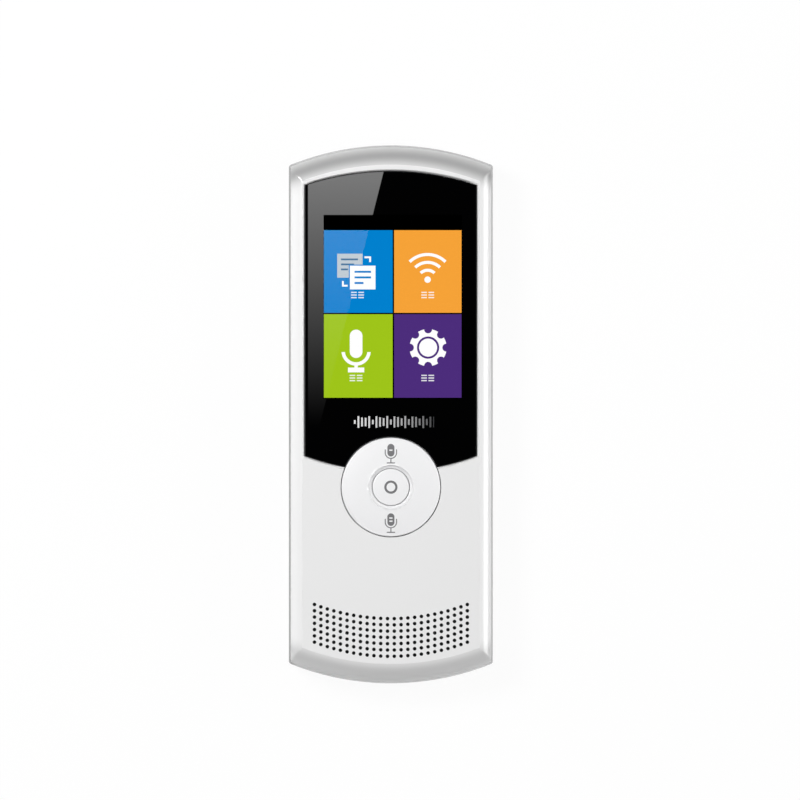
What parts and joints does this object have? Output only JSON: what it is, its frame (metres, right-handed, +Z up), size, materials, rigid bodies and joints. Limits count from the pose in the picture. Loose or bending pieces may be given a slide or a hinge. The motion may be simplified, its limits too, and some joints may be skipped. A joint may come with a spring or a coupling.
{
  "type": "handheld translator",
  "caption": "Slim white bar with bowed ends, black cover glass over a colour screen, round rocker key with a centre key, and an arc of speaker holes.",
  "frame": {"origin": "middle of the back, on the surface that the device lies on", "axes": "+X to the right and +Y towards the top end as the user sees the screen, +Z up out of the screen"},
  "size_m": [0.0544, 0.1434, 0.0159],
  "materials": {
    "housing_white": "glossy moulded white plastic, light grey on the flat face",
    "key_white": "satin moulded white plastic with grey printed signs",
    "cover_glass": "black back-printed glass",
    "touch_glass": "clear glass with fine conductor film",
    "screen_glass": "lit colour screen",
    "light_guide": "white light guide with diffuser films",
    "pressed_steel": "thin pressed steel",
    "steel_screw": "zinc plated steel",
    "foam_tape": "black foam or adhesive tape",
    "flex_film": "amber polyimide film",
    "carrier_plastic": "black moulded plastic",
    "dome_steel": "sprung stainless steel",
    "clear_film": "clear polyester film",
    "circuit_board": "green solder mask on glass fibre",
    "chip_black": "black moulded epoxy",
    "ceramic_part": "sintered ceramic body",
    "cell_pouch": "laminated aluminium pouch",
    "wire_cover": "soft insulation",
    "socket_plastic": "black moulded plastic",
    "cone_film": "thin moulded film",
    "magnet_steel": "plated steel pot with a magnet",
    "grille_cloth": "fine woven acoustic cloth",
    "mic_case": "thin drawn aluminium case",
    "boot_rubber": "soft black rubber"
  },
  "bodies": {
    "housing": {"front_shell": "housing_white", "back_shell": "housing_white", "cover_lens": "cover_glass", "lens_tape": "foam_tape", "touch_panel": "touch_glass", "touch_flex": "flex_film", "lcd_gasket": "foam_tape", "lcd_panel": "screen_glass", "lcd_backlight": "light_guide", "lcd_frame": "pressed_steel", "lcd_tape": "foam_tape", "display_flex": "flex_film", "key_carrier": "carrier_plastic", "dome_a": "dome_steel", "dome_b": "dome_steel", "dome_ok": "dome_steel", "dome_film": "clear_film", "main_board": "circuit_board", "shield_can": "pressed_steel", "processor": "chip_black", "memory_chip": "chip_black", "power_chip": "chip_black", "crystal": "mic_case", "antenna": "ceramic_part", "passives": "ceramic_part", "case_screws": "steel_screw", "board_screws": "steel_screw", "port_screws": "steel_screw", "battery_cell": "cell_pouch", "battery_board": "circuit_board", "battery_tape": "foam_tape", "battery_connector": "socket_plastic", "battery_leads": "wire_cover", "port_board": "circuit_board", "usb_shell": "pressed_steel", "usb_tongue": "socket_plastic", "link_connectors": "socket_plastic", "link_flex": "flex_film", "grille_mesh": "grille_cloth", "speaker_gasket": "foam_tape", "speaker_frame": "carrier_plastic", "speaker_cone": "cone_film", "speaker_magnet": "magnet_steel", "speaker_leads": "wire_cover", "bottom_mic": "mic_case", "bottom_mic_boot": "boot_rubber", "top_mic": "mic_case", "top_mic_boot": "boot_rubber"},
    "ring": {"ring_key": "key_white"},
    "centre": {"centre_key": "key_white"}
  },
  "joints": [
    {"name": "ring_rock", "type": "hinge", "parent": "housing", "child": "ring", "pos_m": [0, -0.0194, 0.0116], "axis": [1, 0, 0], "range_deg": [-1.3, 1.3], "stiffness_Nm_per_rad": 0.9, "deforming": ["dome_a", "dome_b"]},
    {"name": "centre_press", "type": "slide", "parent": "housing", "child": "centre", "axis": [0, 0, -1], "range_m": [0, 0.0003], "stiffness_N_per_m": 3000, "deforming": ["dome_ok"]}
  ]
}
